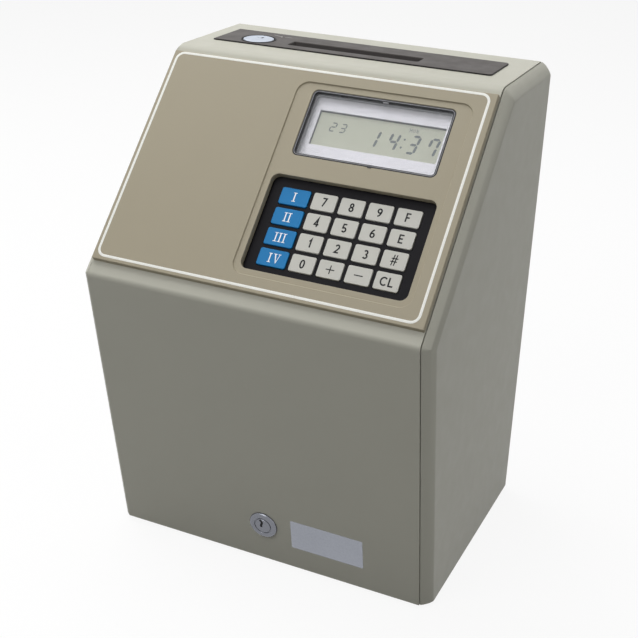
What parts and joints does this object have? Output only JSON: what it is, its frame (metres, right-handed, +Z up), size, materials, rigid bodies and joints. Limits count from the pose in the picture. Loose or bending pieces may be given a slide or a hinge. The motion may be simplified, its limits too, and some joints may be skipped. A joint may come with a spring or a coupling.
{
  "type": "time clock",
  "caption": "Card-stamping time clock: hinged sloping case with keypad and display, card slot and key switch on top, over a steel chassis with card feed and print carriage.",
  "frame": {"origin": "middle of the footprint, on the surface that the rubber feet stand on", "axes": "+X to the right seen from the front, -Y out of the front with the keypad, +Z up"},
  "size_m": [0.2466, 0.2086, 0.3414],
  "materials": {
    "case": "moulded with a very fine spark texture",
    "panel": "satin print on a formed sheet",
    "window": "clear acrylic",
    "top_plate": "satin moulding",
    "lock_metal": "nickel plated and turned",
    "steel": "ground",
    "zinc_plate": "zinc plated sheet",
    "rubber": "moulded",
    "roller": "ground rubber tyres on a steel shaft",
    "board": "glass fibre board with green solder mask",
    "keypad_black": "satin moulding",
    "display_frame": "silver lacquer",
    "display": "reflective display sheet behind glass",
    "key_blue": "fine matt moulding",
    "key_grey": "fine matt moulding",
    "switch_body": "moulded",
    "motor": "black lacquer",
    "brass_gear": "machine cut",
    "nylon_gear": "moulded nylon",
    "carriage": "moulded",
    "print_head": "die cast",
    "cassette": "moulded",
    "transformer": "varnished laminations",
    "inlet": "moulded"
  },
  "bodies": {
    "chassis": {"base_plate": "zinc_plate", "feet": "rubber", "back_plate": "zinc_plate", "left_frame": "zinc_plate", "right_frame": "zinc_plate", "panel_bracket": "zinc_plate", "panel_board": "board", "keypad_bezel": "keypad_black", "key_mat": "rubber", "lcd_bezel": "display_frame", "lcd_glass": "display", "key_switch_body": "switch_body", "chute_front": "zinc_plate", "chute_back": "zinc_plate", "feed_motor": "motor", "guide_rods": "steel", "carriage_motor": "motor", "ribbon_cassette": "cassette", "main_board": "board", "transformer": "transformer", "power_inlet": "inlet", "chassis_screws": "steel"},
    "cover": {"front_cover": "case", "left_side_cover": "case", "right_side_cover": "case", "face_panel": "panel", "display_window": "window", "top_plate": "top_plate", "lock_body": "lock_metal", "hinge_pins": "steel"},
    "lock": {"lock_plug": "lock_metal", "lock_cam": "lock_metal"},
    "key_switch": {"key_switch_rotor": "lock_metal"},
    "feed": {"feed_roller": "roller", "feed_gear": "nylon_gear"},
    "pinion": {"motor_pinion": "brass_gear"},
    "pinch": {"pinch_rollers": "roller"},
    "print_carriage": {"carriage": "carriage", "print_head": "print_head"},
    "screw": {"carriage_screw": "steel"},
    "key_i_body": {"key_i": "key_blue"},
    "key_ii_body": {"key_ii": "key_blue"},
    "key_iii_body": {"key_iii": "key_blue"},
    "key_iv_body": {"key_iv": "key_blue"},
    "key_7_body": {"key_7": "key_grey"},
    "key_8_body": {"key_8": "key_grey"},
    "key_9_body": {"key_9": "key_grey"},
    "key_f_body": {"key_f": "key_grey"},
    "key_4_body": {"key_4": "key_grey"},
    "key_5_body": {"key_5": "key_grey"},
    "key_6_body": {"key_6": "key_grey"},
    "key_e_body": {"key_e": "key_grey"},
    "key_1_body": {"key_1": "key_grey"},
    "key_2_body": {"key_2": "key_grey"},
    "key_3_body": {"key_3": "key_grey"},
    "key_hash_body": {"key_hash": "key_grey"},
    "key_0_body": {"key_0": "key_grey"},
    "key_plus_body": {"key_plus": "key_grey"},
    "key_minus_body": {"key_minus": "key_grey"},
    "key_cl_body": {"key_cl": "key_grey"}
  },
  "joints": [
    {"name": "cover_hinge", "type": "hinge", "parent": "chassis", "child": "cover", "pos_m": [0, 0.09532, 0.331], "axis": [-1, 0, 0], "range_deg": [0, 70]},
    {"name": "lock_turn", "type": "hinge", "parent": "cover", "child": "lock", "pos_m": [0, -0.07419, 0.03503], "axis": [0, 0.9855, 0.1697], "range_deg": [0, 90]},
    {"name": "key_switch_turn", "type": "hinge", "parent": "chassis", "child": "key_switch", "pos_m": [-0.0755, 0.0561, 0.34], "axis": [0, 0, -1], "range_deg": [0, 90]},
    {"name": "feed_spin", "type": "hinge", "parent": "chassis", "child": "feed", "pos_m": [0, 0.0476, 0.135], "axis": [1, 0, 0], "continuous": true},
    {"name": "pinion_spin", "type": "hinge", "parent": "chassis", "child": "pinion", "pos_m": [0.094, 0.0156, 0.135], "axis": [1, 0, 0], "continuous": true},
    {"name": "pinch_spin", "type": "hinge", "parent": "chassis", "child": "pinch", "pos_m": [0, 0.064, 0.135], "axis": [1, 0, 0], "continuous": true},
    {"name": "carriage_slide", "type": "slide", "parent": "chassis", "child": "print_carriage", "axis": [1, 0, 0], "range_m": [0, 0.06]},
    {"name": "screw_spin", "type": "hinge", "parent": "chassis", "child": "screw", "pos_m": [0, 0.012, 0.236], "axis": [1, 0, 0], "range_deg": [-1081, 1]},
    {"name": "key_i_press", "type": "slide", "parent": "chassis", "child": "key_i_body", "axis": [0, 0.7239, -0.6899], "range_m": [0, 0.0008], "stiffness_N_per_m": 400, "springref_m": -0.001},
    {"name": "key_ii_press", "type": "slide", "parent": "chassis", "child": "key_ii_body", "axis": [0, 0.7239, -0.6899], "range_m": [0, 0.0008], "stiffness_N_per_m": 400, "springref_m": -0.001},
    {"name": "key_iii_press", "type": "slide", "parent": "chassis", "child": "key_iii_body", "axis": [0, 0.7239, -0.6899], "range_m": [0, 0.0008], "stiffness_N_per_m": 400, "springref_m": -0.001},
    {"name": "key_iv_press", "type": "slide", "parent": "chassis", "child": "key_iv_body", "axis": [0, 0.7239, -0.6899], "range_m": [0, 0.0008], "stiffness_N_per_m": 400, "springref_m": -0.001},
    {"name": "key_7_press", "type": "slide", "parent": "chassis", "child": "key_7_body", "axis": [0, 0.7239, -0.6899], "range_m": [0, 0.0008], "stiffness_N_per_m": 400, "springref_m": -0.001},
    {"name": "key_8_press", "type": "slide", "parent": "chassis", "child": "key_8_body", "axis": [0, 0.7239, -0.6899], "range_m": [0, 0.0008], "stiffness_N_per_m": 400, "springref_m": -0.001},
    {"name": "key_9_press", "type": "slide", "parent": "chassis", "child": "key_9_body", "axis": [0, 0.7239, -0.6899], "range_m": [0, 0.0008], "stiffness_N_per_m": 400, "springref_m": -0.001},
    {"name": "key_f_press", "type": "slide", "parent": "chassis", "child": "key_f_body", "axis": [0, 0.7239, -0.6899], "range_m": [0, 0.0008], "stiffness_N_per_m": 400, "springref_m": -0.001},
    {"name": "key_4_press", "type": "slide", "parent": "chassis", "child": "key_4_body", "axis": [0, 0.7239, -0.6899], "range_m": [0, 0.0008], "stiffness_N_per_m": 400, "springref_m": -0.001},
    {"name": "key_5_press", "type": "slide", "parent": "chassis", "child": "key_5_body", "axis": [0, 0.7239, -0.6899], "range_m": [0, 0.0008], "stiffness_N_per_m": 400, "springref_m": -0.001},
    {"name": "key_6_press", "type": "slide", "parent": "chassis", "child": "key_6_body", "axis": [0, 0.7239, -0.6899], "range_m": [0, 0.0008], "stiffness_N_per_m": 400, "springref_m": -0.001},
    {"name": "key_e_press", "type": "slide", "parent": "chassis", "child": "key_e_body", "axis": [0, 0.7239, -0.6899], "range_m": [0, 0.0008], "stiffness_N_per_m": 400, "springref_m": -0.001},
    {"name": "key_1_press", "type": "slide", "parent": "chassis", "child": "key_1_body", "axis": [0, 0.7239, -0.6899], "range_m": [0, 0.0008], "stiffness_N_per_m": 400, "springref_m": -0.001},
    {"name": "key_2_press", "type": "slide", "parent": "chassis", "child": "key_2_body", "axis": [0, 0.7239, -0.6899], "range_m": [0, 0.0008], "stiffness_N_per_m": 400, "springref_m": -0.001},
    {"name": "key_3_press", "type": "slide", "parent": "chassis", "child": "key_3_body", "axis": [0, 0.7239, -0.6899], "range_m": [0, 0.0008], "stiffness_N_per_m": 400, "springref_m": -0.001},
    {"name": "key_hash_press", "type": "slide", "parent": "chassis", "child": "key_hash_body", "axis": [0, 0.7239, -0.6899], "range_m": [0, 0.0008], "stiffness_N_per_m": 400, "springref_m": -0.001},
    {"name": "key_0_press", "type": "slide", "parent": "chassis", "child": "key_0_body", "axis": [0, 0.7239, -0.6899], "range_m": [0, 0.0008], "stiffness_N_per_m": 400, "springref_m": -0.001},
    {"name": "key_plus_press", "type": "slide", "parent": "chassis", "child": "key_plus_body", "axis": [0, 0.7239, -0.6899], "range_m": [0, 0.0008], "stiffness_N_per_m": 400, "springref_m": -0.001},
    {"name": "key_minus_press", "type": "slide", "parent": "chassis", "child": "key_minus_body", "axis": [0, 0.7239, -0.6899], "range_m": [0, 0.0008], "stiffness_N_per_m": 400, "springref_m": -0.001},
    {"name": "key_cl_press", "type": "slide", "parent": "chassis", "child": "key_cl_body", "axis": [0, 0.7239, -0.6899], "range_m": [0, 0.0008], "stiffness_N_per_m": 400, "springref_m": -0.001}
  ],
  "couplings": [
    {"joint": "pinion_spin", "follows": "feed_spin", "ratio": -3},
    {"joint": "pinch_spin", "follows": "feed_spin", "ratio": -1.2857},
    {"joint": "screw_spin", "follows": "carriage_slide", "rad_per_m": -314.16}
  ]
}
